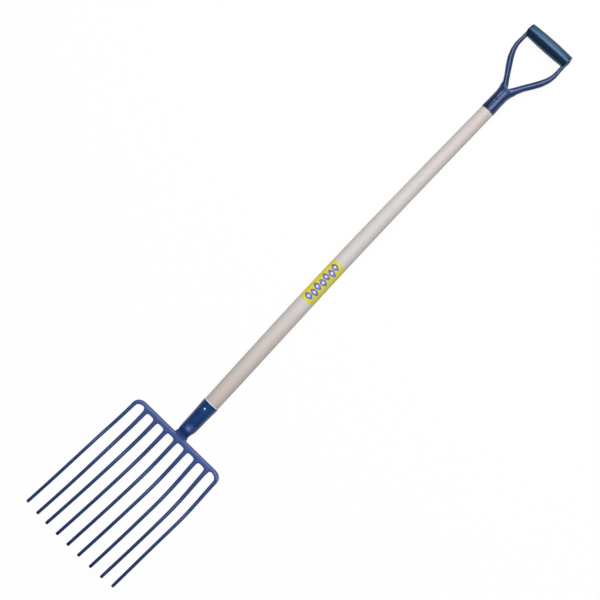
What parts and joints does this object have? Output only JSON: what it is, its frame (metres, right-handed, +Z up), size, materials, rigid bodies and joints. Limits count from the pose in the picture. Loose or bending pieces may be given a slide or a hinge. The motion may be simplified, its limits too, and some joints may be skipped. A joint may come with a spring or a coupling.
{
  "type": "stone fork",
  "caption": "Long stone fork with a scoop-shaped comb of bent round tines, socketed head on a straight ash shaft, and a steel Y handle with a barrel grip for lifting and sieving stones",
  "frame": {"origin": "on the ground under the middle of the bounding box, with the fork lying on its back", "axes": "+X runs along the shaft to the grip, +Y to the fork's left as its hollow front faces up, +Z up out of the hollow of the tines"},
  "size_m": [1.4034, 0.2504, 0.1284],
  "materials": {
    "head_enamel": "blue enamel, satin gloss, dipped",
    "rivet_steel": "bright zinc-plated steel",
    "ash": "turned ash, pale and slightly grey, thin clear coat",
    "label_print": "printed film sticker, yellow with blue motifs",
    "yoke_enamel": "dark blue enamel, gloss",
    "grip_plastic": "moulded navy plastic, smooth",
    "rod_steel": "zinc-plated steel, riveted over"
  },
  "bodies": {
    "root": {"fork_head": "head_enamel", "socket_rivet": "rivet_steel", "shaft": "ash", "label": "label_print", "yoke": "yoke_enamel", "yoke_rivet": "yoke_enamel", "grip": "grip_plastic", "grip_rod": "rod_steel"}
  },
  "joints": []
}
